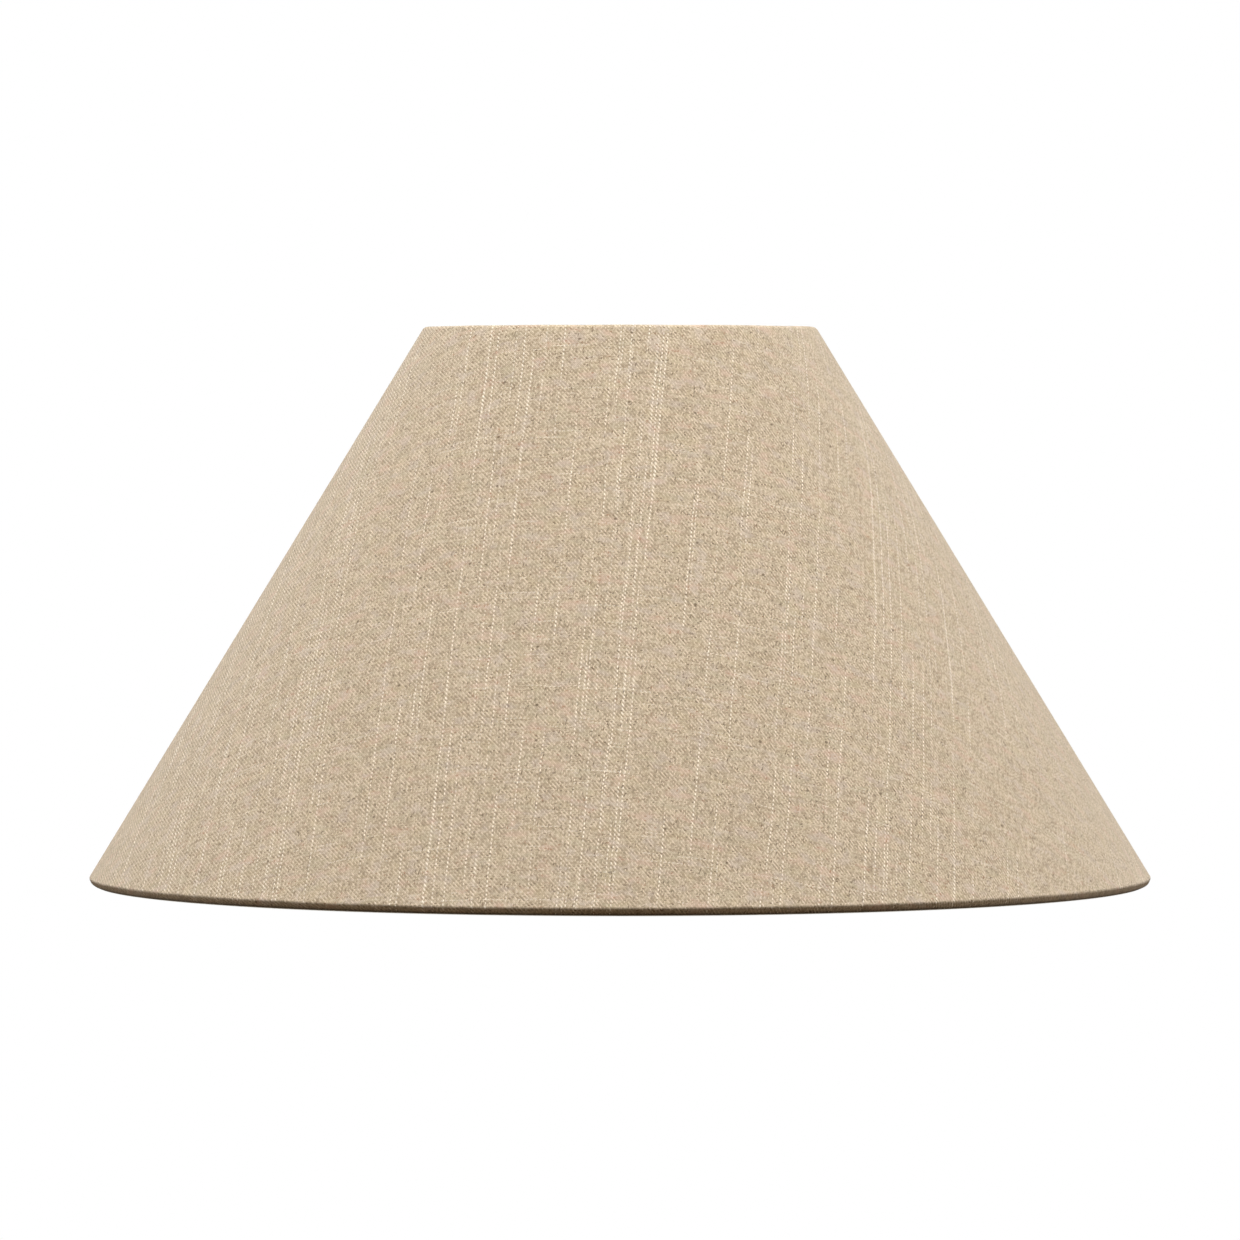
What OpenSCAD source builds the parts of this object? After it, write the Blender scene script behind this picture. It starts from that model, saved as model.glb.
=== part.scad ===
// Cone lamp shade with rolled rims, a stiff lining and a tilting ring fitter.
// It stands on its bottom rim: the base lies on z = 0, the axis on x = y = 0.
// The front faces -Y, the joint in the cover is at the back (+Y) and the
// fitter swings about an axis along X, a little below the top rim.

/* [Shade] */
// Outside diameter over the rolled bottom rim
bottom_d = 400; // [260:5:520]
// Outside diameter over the rolled top rim
top_d = 150; // [130:1:200]
// Height over both rolled rims
shade_h = 210; // [150:5:280]

/* [Cover and lining] */
// Thickness of the woven cover
fabric_t = 0.5; // [0.3:0.05:0.8]
// Thickness of the stiff white lining
liner_t = 0.35; // [0.25:0.05:0.6]
// Play between the cover and what it is glued to
glue_gap = 0.05; // [0.03:0.01:0.1]
// Width of the lap where the cover's ends meet
lap_w = 12; // [10:1:20]
// How far the lap's turned edge stops short of each rolled rim
lap_end = 6; // [4:1:15]
// Width of the adhesive tape inside the lap
tape_w = 8.5; // [4:0.5:10]
// Thickness of the adhesive tape
tape_t = 0.15; // [0.1:0.05:0.3]
// How far the tape stays back from the lap's free edge
tape_inset = 1; // [0.5:0.25:2]
// Open joint between the two ends of the lining
liner_joint = 0.8; // [0.4:0.1:2]

/* [Rim wires] */
// Wire of the top and bottom rings
ring_wire_d = 3.8; // [3:0.1:4.5]
// Depth to which a lug is welded into the top ring
weld_bite = 0.4; // [0.2:0.1:0.6]

/* [Pivot lugs] */
// Thickness of a lug
lug_t = 1.5; // [1:0.1:2]
// Width of a lug
lug_w = 11; // [9:0.5:14]
// How far the pivot axis lies below the top ring's wire
pivot_drop = 10; // [9:0.5:14]
// Gap in the rolled rim each side of a lug
notch_gap = 0.5; // [0.3:0.1:1.5]

/* [Rivets] */
// Shank of a pivot rivet
rivet_d = 3; // [2.5:0.1:4]
// Head of a pivot rivet
rivet_head_d = 6; // [5:0.5:7]
// Height of a rivet head
rivet_head_h = 1.3; // [1:0.1:1.8]
// Washer between lug and arm, outside diameter
washer_d = 7.4; // [6.5:0.1:9]
// Thickness of the washer
washer_t = 0.8; // [0.5:0.1:1.2]
// Radial play of a washer on its rivet
washer_play = 0.1; // [0.05:0.05:0.3]
// Radial play of an arm's eye on its rivet
pivot_play = 0.05; // [0.03:0.01:0.09]
// Side play at each face of an eye and a washer
side_play = 0.1; // [0.05:0.05:0.2]

/* [Fitter] */
// Wire of the two arms
arm_wire_d = 3; // [2.5:0.1:3.5]
// Flattened end of an arm, outside diameter
eye_d = 10; // [8:0.5:11]
// Thickness of the flattened end
eye_t = 1.8; // [1.2:0.1:2.4]
// Inside radius at each bend in an arm
arm_bend_r = 5; // [3:0.5:8]
// How much thinner the wire is drawn at a bend
bend_thin = 0.1; // [0.06:0.02:0.2]
// Length of an arm between the pivot axis and its first bend
arm_shank = 9; // [8:0.5:12]
// How far the fitter ring's plate hangs below the pivot axis
fitter_drop = 45; // [35:1:60]
// Hole in the fitter ring
fitter_hole_d = 40.6; // [36:0.2:50]
// Width of the fitter ring's plate around its hole
plate_w = 4.2; // [3.5:0.1:6]
// Thickness of the fitter ring's plate and rim
fitter_t = 1.2; // [0.8:0.1:1.6]
// Height of the fitter ring's rim
fitter_rim_h = 8; // [6:0.5:12]
// Radius of the pressed corner between plate and rim
fitter_corner_r = 1.8; // [0.5:0.1:2.5]

/* [Reducer] */
// Bore for the small lamp holder
reducer_bore_d = 29; // [27:0.5:31]
// How far the reducer's flange rests on the fitter ring's plate
flange_seat = 2.2; // [1.5:0.1:3]
// Thickness of the flange
reducer_flange_t = 1.8; // [1.2:0.1:2.5]
// Radius of the flange's upper edge
flange_corner_r = 1; // [0.4:0.1:1.2]
// Depth of the reducer below its flange
reducer_depth = 7; // [5:0.5:9]
// Wall of the reducer's inner tube
reducer_wall = 1.6; // [1.2:0.1:2]
// Thickness of the snap legs
leg_t = 1.4; // [1:0.1:1.8]
// Number of snap legs
leg_count = 8; // [4:1:12]
// Slot between two snap legs
leg_slot = 2.4; // [1.5:0.1:4]
// Radial play of the legs in the fitter ring
leg_play = 0.3; // [0.2:0.05:0.5]
// How far the lip at a leg's foot stands out
leg_lip = 0.2; // [0.1:0.05:0.25]

/* [Hidden] */
$fn = 96;

linen = [0.79, 0.71, 0.61];
white = [0.94, 0.93, 0.90];
steel = [0.80, 0.80, 0.79];
zinc = [0.72, 0.73, 0.74];

wire_r = ring_wire_d/2;
roll_r = wire_r + glue_gap + fabric_t;
bottom_wire_r = bottom_d/2 - roll_r;
top_wire_r = top_d/2 - roll_r;
top_wire_z = shade_h - roll_r;
wall_run = bottom_wire_r - top_wire_r;
wall_rise = top_wire_z - roll_r;
wall_angle = atan(wall_run/wall_rise);
wall_len = sqrt(wall_run*wall_run + wall_rise*wall_rise);

// distances from the wall's line through both wires, measured outwards
cover_in = wire_r + glue_gap;
cover_out = cover_in + fabric_t;
liner_out = cover_in - glue_gap;
liner_in = liner_out - liner_t;
liner_end = sqrt(wire_r*wire_r - liner_in*liner_in) + 2*glue_gap;
lap_t = 2*fabric_t;
tape_shift = (lap_w - tape_w)/2 - tape_inset;

pivot_z = top_wire_z - pivot_drop;
lug_out = top_wire_r - wire_r + weld_bite;
lug_in = lug_out - lug_t;
washer_out = lug_in - side_play;
washer_in = washer_out - washer_t;
eye_out = washer_in - side_play;
eye_in = eye_out - eye_t;
eye_mid = (eye_out + eye_in)/2;
rivet_r = rivet_d/2;
rivet_in = eye_in - side_play;
lug_top = pivot_drop + wire_r*0.8;

plate_z = pivot_z - fitter_drop;
rim_low = fitter_t - fitter_rim_h;
fitter_d = fitter_hole_d + 2*plate_w;
tail_x = fitter_d/2 + arm_wire_d/2 - weld_bite;
tail_top = 8;
arm_start = max(rivet_head_d, washer_d)/2 + 0.3;
arm_route = [
    [eye_mid, arm_start],
    [eye_mid, arm_shank],
    [tail_x, fitter_drop - tail_top],
    [tail_x, fitter_drop - rim_low]
];

fitter_hole_r = fitter_hole_d/2;
leg_r = fitter_hole_r - leg_play;
reducer_flange_d = fitter_hole_d + 2*flange_seat;

// the wall's own frame: x points out of the wall, y runs up the slope
module on_wall() {
    translate([bottom_wire_r, roll_r])
    rotate(wall_angle)
    children();
}

// fabric rolled round one wire, with its edge tucked in behind the lining
module rim_roll(y, up) {
    translate([0, y])
    difference() {
        circle(r = roll_r);
        circle(r = cover_in);
        translate([liner_in - glue_gap, up > 0 ? 0 : -roll_r - 1])
        square([roll_r, roll_r + 1]);
    }
}

// a band of the wall between two distances from its line
module wall_band(inside, outside, low, high) {
    rotate_extrude($fn = 180)
    on_wall()
    translate([inside, low])
    square([outside - inside, high - low]);
}

// keeps the strip of a shape that lies at the back of the shade
module back_strip(width, shift = 0) {
    intersection() {
        children();
        translate([shift - width/2, 0, -1])
        cube([width, bottom_d, shade_h + 2]);
    }
}

module at_pivot(side) {
    translate([0, 0, pivot_z])
    mirror([side < 0 ? 1 : 0, 0, 0])
    children();
}

module along_x(x_low, x_high) {
    translate([x_low, 0, 0])
    rotate([0, 90, 0])
    linear_extrude(x_high - x_low)
    children();
}

module cover_fabric() {
    color(linen)
    difference() {
        union() {
            rotate_extrude($fn = 180)
            on_wall() {
                rim_roll(0, 1);
                rim_roll(wall_len, -1);
                translate([cover_in, 0])
                square([fabric_t, wall_len]);
            }
            difference() {
                back_strip(lap_w)
                wall_band(cover_out - fabric_t/2, cover_out + tape_t + glue_gap + lap_t,
                    lap_end, wall_len - lap_end);
                back_strip(tape_w + tape_inset + 1, tape_shift + (tape_inset + 1)/2)
                wall_band(cover_out, cover_out + tape_t + glue_gap,
                    lap_end - 1, wall_len - lap_end + 1);
            }
        }
        for (side = [-1, 1])
        at_pivot(side)
        lug_notch();
    }
}

// room for a lug where it passes through the rolled top rim
module lug_notch() {
    translate([lug_in - notch_gap, -lug_w/2 - notch_gap, 0])
    cube([lug_t + 2*notch_gap, lug_w + 2*notch_gap, lug_top + notch_gap]);
}

module liner_sheet() {
    color(white)
    difference() {
        wall_band(liner_in, liner_out, liner_end, wall_len - liner_end);
        translate([-lap_w/2 - liner_joint/2, 0, -1])
        cube([liner_joint, bottom_d, shade_h + 2]);
    }
}

module seam_tape() {
    color(white)
    back_strip(tape_w, tape_shift)
    wall_band(cover_out, cover_out + tape_t, lap_end, wall_len - lap_end);
}

module ring(radius, z) {
    rotate_extrude($fn = 180)
    translate([radius, z])
    circle(r = wire_r, $fn = 48);
}

module top_ring() {
    color(zinc)
    difference() {
        ring(top_wire_r, top_wire_z);
        for (side = [-1, 1])
        at_pivot(side)
        lug_blank();
    }
}

module bottom_ring() {
    color(zinc)
    ring(bottom_wire_r, roll_r);
}

// flat strap with a round end about the pivot
module lug_blank() {
    along_x(lug_in, lug_out)
    union() {
        circle(d = lug_w);
        translate([-lug_top, -lug_w/2])
        square([lug_top, lug_w]);
    }
}

module pivot_lug(side) {
    color(zinc)
    at_pivot(side)
    difference() {
        lug_blank();
        along_x(lug_in - 1, lug_out + 1)
        circle(d = rivet_d);
    }
}

// low dome standing on x = 0 and pointing along +X
module rivet_head() {
    ball_r = (rivet_head_d*rivet_head_d/4 + rivet_head_h*rivet_head_h)/(2*rivet_head_h);
    intersection() {
        translate([rivet_head_h - ball_r, 0, 0])
        sphere(r = ball_r);
        along_x(0, rivet_head_h + 1)
        circle(d = rivet_head_d);
    }
}

module pivot_rivet(side) {
    color(zinc)
    at_pivot(side)
    union() {
        along_x(rivet_in - 0.01, lug_out + 0.01)
        circle(d = rivet_d);
        translate([lug_out, 0, 0])
        rivet_head();
        translate([rivet_in, 0, 0])
        mirror([1, 0, 0])
        rivet_head();
    }
}

module pivot_washer(side) {
    color(white)
    at_pivot(side)
    along_x(washer_in, washer_out)
    difference() {
        circle(d = washer_d);
        circle(r = rivet_r + washer_play);
    }
}

// a round bend from one straight run to the next, in the x and depth plane
function heading(a, b) = atan2(b[1] - a[1], b[0] - a[0]);
function turn(a, b, c) = heading(b, c) - heading(a, b);
function setback(angle) = (arm_bend_r + arm_wire_d/2)*tan(abs(angle)/2);
function step(a, b, length) = a + (b - a)*length/norm(b - a);

module arm_run(a, b) {
    translate([a[0], a[1], 0])
    rotate([0, 90, heading(a, b)])
    cylinder(d = arm_wire_d, h = norm(b - a), $fn = 48);
}

// the bend reaches a little way into the straight run on each side
module arm_corner(a, b, c) {
    angle = turn(a, b, c);
    bend_r = arm_bend_r + arm_wire_d/2;
    reach = asin(0.6*sqrt(bend_r*bend_thin)/bend_r);
    start = step(b, a, setback(angle));
    side = angle > 0 ? 1 : -1;
    translate([start[0], start[1], 0])
    rotate(heading(a, b))
    translate([0, side*bend_r, 0])
    rotate((side > 0 ? -90 : 90 + angle) - reach)
    rotate_extrude(angle = abs(angle) + 2*reach, $fn = 96)
    translate([bend_r, 0])
    circle(d = arm_wire_d - bend_thin, $fn = 48);
}

// the bent wire, drawn in a plane whose y axis points down the arm
module arm_wire() {
    p = arm_route;
    first = setback(turn(p[0], p[1], p[2]));
    second = setback(turn(p[1], p[2], p[3]));
    arm_run(p[0], step(p[1], p[0], first));
    arm_corner(p[0], p[1], p[2]);
    arm_run(step(p[1], p[2], first), step(p[2], p[1], second));
    arm_corner(p[1], p[2], p[3]);
    arm_run(step(p[2], p[3], second), p[3]);
}

module gimbal_arm(side) {
    color(steel)
    at_pivot(side)
    difference() {
        union() {
            along_x(eye_in, eye_out)
            circle(d = eye_d);
            rotate([-90, 0, 0])
            arm_wire();
        }
        along_x(eye_in - 1, eye_out + 1)
        circle(r = rivet_r + pivot_play);
        along_x(eye_in - arm_wire_d, eye_in)
        circle(d = rivet_head_d + 2*side_play);
        translate([0, 0, -fitter_drop + rim_low - 1])
        cylinder(d = fitter_d, h = fitter_rim_h + 2);
    }
}

// what a rounding of radius r takes off the corner at (x, y)
module outer_corner(x, y, r) {
    translate([x - r, y - r])
    difference() {
        square(r + 1);
        circle(r = r);
    }
}

module fitter_ring() {
    color(steel)
    translate([0, 0, plate_z])
    rotate_extrude()
    difference() {
        translate([fitter_hole_r, rim_low])
        square([fitter_d/2 - fitter_hole_r, fitter_rim_h]);
        translate([fitter_hole_r - 1, rim_low - 1])
        square([fitter_d/2 - fitter_t - fitter_hole_r + 1, 1 - rim_low]);
        outer_corner(fitter_d/2, fitter_t, fitter_corner_r);
    }
}

module reducer_ring() {
    bore_r = reducer_bore_d/2;
    color(white)
    translate([0, 0, plate_z + fitter_t]) {
        rotate_extrude()
        difference() {
            translate([bore_r, 0])
            square([reducer_flange_d/2 - bore_r, reducer_flange_t]);
            outer_corner(reducer_flange_d/2, reducer_flange_t, flange_corner_r);
        }
        rotate_extrude()
        translate([bore_r, -reducer_depth])
        square([reducer_wall, reducer_depth + reducer_flange_t/2]);
        snap_legs();
    }
}

module snap_legs() {
    difference() {
        rotate_extrude()
        union() {
            translate([leg_r - leg_t, -reducer_depth])
            square([leg_t, reducer_depth + reducer_flange_t/2]);
            translate([leg_r - leg_t/2, -reducer_depth])
            square([leg_t/2 + leg_lip, reducer_depth - fitter_t - 2*leg_lip]);
        }
        for (i = [0 : leg_count - 1])
        rotate((i + 0.5)*360/leg_count)
        translate([0, -leg_slot/2, -reducer_depth - 1])
        cube([fitter_d/2, leg_slot, reducer_depth + 1]);
    }
}

cover_fabric();
liner_sheet();
seam_tape();
top_ring();
bottom_ring();
pivot_lug(-1);  // pivot_lug_left
pivot_lug(1);  // pivot_lug_right
pivot_rivet(-1);  // pivot_rivet_left
pivot_rivet(1);  // pivot_rivet_right
pivot_washer(-1);  // pivot_washer_left
pivot_washer(1);  // pivot_washer_right
gimbal_arm(-1);  // gimbal_arm_left
gimbal_arm(1);  // gimbal_arm_right
fitter_ring();
reducer_ring();
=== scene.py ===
import math

import bpy
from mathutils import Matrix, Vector, noise


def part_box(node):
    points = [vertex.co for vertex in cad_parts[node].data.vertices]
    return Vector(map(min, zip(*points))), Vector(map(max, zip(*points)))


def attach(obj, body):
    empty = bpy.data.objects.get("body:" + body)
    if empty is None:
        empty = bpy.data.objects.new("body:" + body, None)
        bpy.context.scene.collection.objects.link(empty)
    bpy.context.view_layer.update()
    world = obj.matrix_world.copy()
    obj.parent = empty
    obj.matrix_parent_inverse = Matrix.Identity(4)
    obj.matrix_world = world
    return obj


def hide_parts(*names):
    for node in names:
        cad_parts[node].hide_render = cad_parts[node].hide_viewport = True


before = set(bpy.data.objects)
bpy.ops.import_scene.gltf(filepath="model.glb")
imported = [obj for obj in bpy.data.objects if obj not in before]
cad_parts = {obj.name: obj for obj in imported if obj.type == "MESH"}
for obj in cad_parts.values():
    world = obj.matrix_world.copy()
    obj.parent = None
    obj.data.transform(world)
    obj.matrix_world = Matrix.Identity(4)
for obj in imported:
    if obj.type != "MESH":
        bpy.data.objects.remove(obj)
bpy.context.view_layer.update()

print("frame loaded:", len(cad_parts), "nodes")

scene = bpy.context.scene
scene.view_settings.view_transform = "Standard"
mm = 0.001


# small helpers

def deselectAll():
    if bpy.context.object and bpy.context.object.mode != "OBJECT":
        bpy.ops.object.mode_set(mode="OBJECT")
    bpy.ops.object.select_all(action="DESELECT")


def pick(obj):
    deselectAll()
    obj.select_set(True)
    bpy.context.view_layer.objects.active = obj


def applyModifiers(obj):
    pick(obj)
    for modifier in list(obj.modifiers):
        bpy.ops.object.modifier_apply(modifier=modifier.name)


def smoothStep(low, high, x):
    t = min(1.0, max(0.0, (x - low)/(high - low)))
    return t*t*(3 - 2*t)


def setMaterial(obj, material):
    obj.data.materials.clear()
    obj.data.materials.append(material)
    obj.data.polygons.foreach_set("material_index", [0]*len(obj.data.polygons))


def selectParts(obj, kind, test):
    # faces are tested by centre and normal, edges by middle and direction, vertices by place
    pick(obj)
    bpy.ops.object.mode_set(mode="EDIT")
    bpy.ops.mesh.select_mode(type=kind)
    bpy.ops.mesh.select_all(action="DESELECT")
    bpy.ops.object.mode_set(mode="OBJECT")
    mesh = obj.data
    for face in mesh.polygons if kind == "FACE" else ():
        face.select = test(face.center, face.normal)
    for edge in mesh.edges if kind == "EDGE" else ():
        a, b = (mesh.vertices[v].co for v in edge.vertices)
        edge.select = test((a + b)/2, (b - a).normalized())
    for vertex in mesh.vertices if kind == "VERT" else ():
        vertex.select = test(vertex.co)
    bpy.ops.object.mode_set(mode="EDIT")


def fixPlace(obj):
    # the object goes back to the origin, and its place into its mesh
    pick(obj)
    bpy.ops.object.transform_apply(location=True, rotation=True, scale=True)


def finishPiece(obj, body, material, node=None, angle=35):
    pick(obj)
    bpy.ops.object.mode_set(mode="EDIT")
    bpy.ops.mesh.select_all(action="SELECT")
    bpy.ops.mesh.normals_make_consistent(inside=False)
    bpy.ops.object.mode_set(mode="OBJECT")
    bpy.ops.object.shade_smooth_by_angle(angle=math.radians(angle))
    setMaterial(obj, material)
    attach(obj, body)
    if node:
        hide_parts(node)
    print(obj.name, "made:", len(obj.data.polygons), "faces")
    return obj


def outFromAxis(place):
    return math.hypot(place.x, place.y)


def near(a, b, reach=0.06*mm):
    return abs(a - b) < reach


# sizes read from the frame

def readShade():
    topLow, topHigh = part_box("top_ring")
    bottomLow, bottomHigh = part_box("bottom_ring")
    wireR = (bottomHigh.z - bottomLow.z)/2
    size = {
        "wireR": wireR,
        "topWireR": topHigh.x - wireR,
        "bottomWireR": bottomHigh.x - wireR,
        "topZ": (topLow.z + topHigh.z)/2,
        "bottomZ": (bottomLow.z + bottomHigh.z)/2,
    }
    run = size["bottomWireR"] - size["topWireR"]
    rise = size["topZ"] - size["bottomZ"]
    size["slope"] = math.atan2(run, rise)
    size["wallLen"] = math.hypot(run, rise)
    size["rollR"] = size["bottomZ"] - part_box("cover_fabric")[0].z
    return size


shade = readShade()
print("shade:", {key: round(value, 5) for key, value in shade.items()})


def wallPoint(across, up):
    # a point beside the wall's line through both wires, as radius and height
    slope = shade["slope"]
    radius = shade["bottomWireR"] + across*math.cos(slope) - up*math.sin(slope)
    height = shade["bottomZ"] + across*math.sin(slope) + up*math.cos(slope)
    return radius, height


# camera

camera = {
    "distance": 3.0,      # from the shade's axis
    "height": 0.1759,
    "side": 0.0,
    "lookDown": 1.461,    # degrees
    "lens": 230.56,       # on a 36 mm sensor
}


def makeCamera():
    data = bpy.data.cameras.new("camera")
    data.lens = camera["lens"]
    data.sensor_width = 36
    data.clip_end = 100
    obj = bpy.data.objects.new("camera", data)
    scene.collection.objects.link(obj)
    obj.location = (camera["side"], -camera["distance"], camera["height"])
    obj.rotation_euler = (math.radians(90 - camera["lookDown"]), 0, 0)
    scene.camera = obj


makeCamera()


# node helpers

def feed(tree, socket, value):
    if isinstance(value, bpy.types.NodeSocket):
        tree.links.new(value, socket)
    else:
        socket.default_value = value


def calc(tree, operation, *values, clamp=False):
    node = tree.nodes.new("ShaderNodeMath")
    node.operation = operation
    node.use_clamp = clamp
    for socket, value in zip(node.inputs, values):
        feed(tree, socket, value)
    return node.outputs[0]


def blendColour(tree, share, a, b, mode="MIX"):
    node = tree.nodes.new("ShaderNodeMix")
    node.data_type = "RGBA"
    node.blend_type = mode
    feed(tree, node.inputs[0], share)
    feed(tree, node.inputs[6], a)
    feed(tree, node.inputs[7], b)
    return node.outputs[2]


def blendValue(tree, share, a, b):
    node = tree.nodes.new("ShaderNodeMix")
    feed(tree, node.inputs[0], share)
    feed(tree, node.inputs[2], a)
    feed(tree, node.inputs[3], b)
    return node.outputs[0]


def joinXY(tree, x, y):
    node = tree.nodes.new("ShaderNodeCombineXYZ")
    feed(tree, node.inputs[0], x)
    feed(tree, node.inputs[1], y)
    return node.outputs[0]


def noiseAt(tree, vector, scale, detail=0.0, dimensions="2D"):
    node = tree.nodes.new("ShaderNodeTexNoise")
    node.noise_dimensions = dimensions
    feed(tree, node.inputs["Vector"], vector)
    feed(tree, node.inputs["Scale"], scale)
    node.inputs["Detail"].default_value = detail
    return node.outputs[0]


def randomAt(tree, vector):
    node = tree.nodes.new("ShaderNodeTexWhiteNoise")
    node.noise_dimensions = "2D"
    feed(tree, node.inputs["Vector"], vector)
    return node.outputs[0]


def ramp(tree, value, low, high):
    node = tree.nodes.new("ShaderNodeMapRange")
    node.interpolation_type = "SMOOTHSTEP"
    feed(tree, node.inputs["Value"], value)
    node.inputs["From Min"].default_value = low
    node.inputs["From Max"].default_value = high
    return node.outputs[0]


def newGroup(name, inputs, outputs):
    group = bpy.data.node_groups.new(name, "ShaderNodeTree")
    for label, kind, value in inputs:
        socket = group.interface.new_socket(label, in_out="INPUT", socket_type=kind)
        if value is not None:
            socket.default_value = value
    for label, kind in outputs:
        group.interface.new_socket(label, in_out="OUTPUT", socket_type=kind)
    return group, group.nodes.new("NodeGroupInput"), group.nodes.new("NodeGroupOutput")


def useGroup(tree, group, **values):
    node = tree.nodes.new("ShaderNodeGroup")
    node.node_tree = group
    for label, value in values.items():
        feed(tree, node.inputs[label.replace("_", " ")], value)
    return node


def newMaterial(name):
    material = bpy.data.materials.new(name)
    material.use_nodes = True
    tree = material.node_tree
    return material, tree, tree.nodes["Principled BSDF"]


def addBump(tree, shader, height, distance, strength=1.0):
    node = tree.nodes.new("ShaderNodeBump")
    node.inputs["Strength"].default_value = strength
    node.inputs["Distance"].default_value = distance
    tree.links.new(height, node.inputs["Height"])
    tree.links.new(node.outputs[0], shader.inputs["Normal"])


# the woven cloth

cloth = {
    "thickness": 0.5*mm,
    "warpPitch": 0.39,            # mm between warp threads
    "weftPitch": 0.425,           # mm between weft threads
    "grainLean": 5.0,             # degrees the warp leans from the front's centre line
    "unevenFloats": 1.0,          # how much one float differs from the next
    "knotsPerMm": 0.75,
    "knots": 0.8,
    "slubShare": 0.085,           # of the warp threads
    "weftSlubShare": 0.07,        # of the weft threads
    "weftSlubs": 0.45,
    "fleckShare": 0.06,           # of the floats
    "flecks": 0.8,
    "warpPale": (0.70, 0.577, 0.423, 1),
    "warpDark": (0.43, 0.334, 0.227, 1),
    "weftPale": (0.58, 0.471, 0.336, 1),
    "weftDark": (0.33, 0.253, 0.165, 1),
    "slub": (0.96, 0.87, 0.73, 1),
    "fleck": (0.12, 0.075, 0.04, 1),
    "rust": (0.34, 0.16, 0.08, 1),
    "nepEvery": 26.0,             # mm between places where a nep may sit
    "nepSize": 0.75,              # mm from its middle to its faded edge
    "nepsFrom": 0.62,             # a place has a nep when its random number is above this
    "neps": 0.75,
    "pink": (0.60, 0.42, 0.32, 1),
    "lilac": (0.56, 0.46, 0.39, 1),
    "ochre": (0.55, 0.44, 0.26, 1),
    "khaki": (0.46, 0.40, 0.27, 1),
    "bumpDepth": 0.12*mm,
    "bump": 0.6,
    "roughness": 0.9,
    "specular": 0.25,
    "sheen": 0.25,
    "sheenRoughness": 0.5,
    "sheenTint": (1.0, 0.93, 0.84, 1),
}


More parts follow.
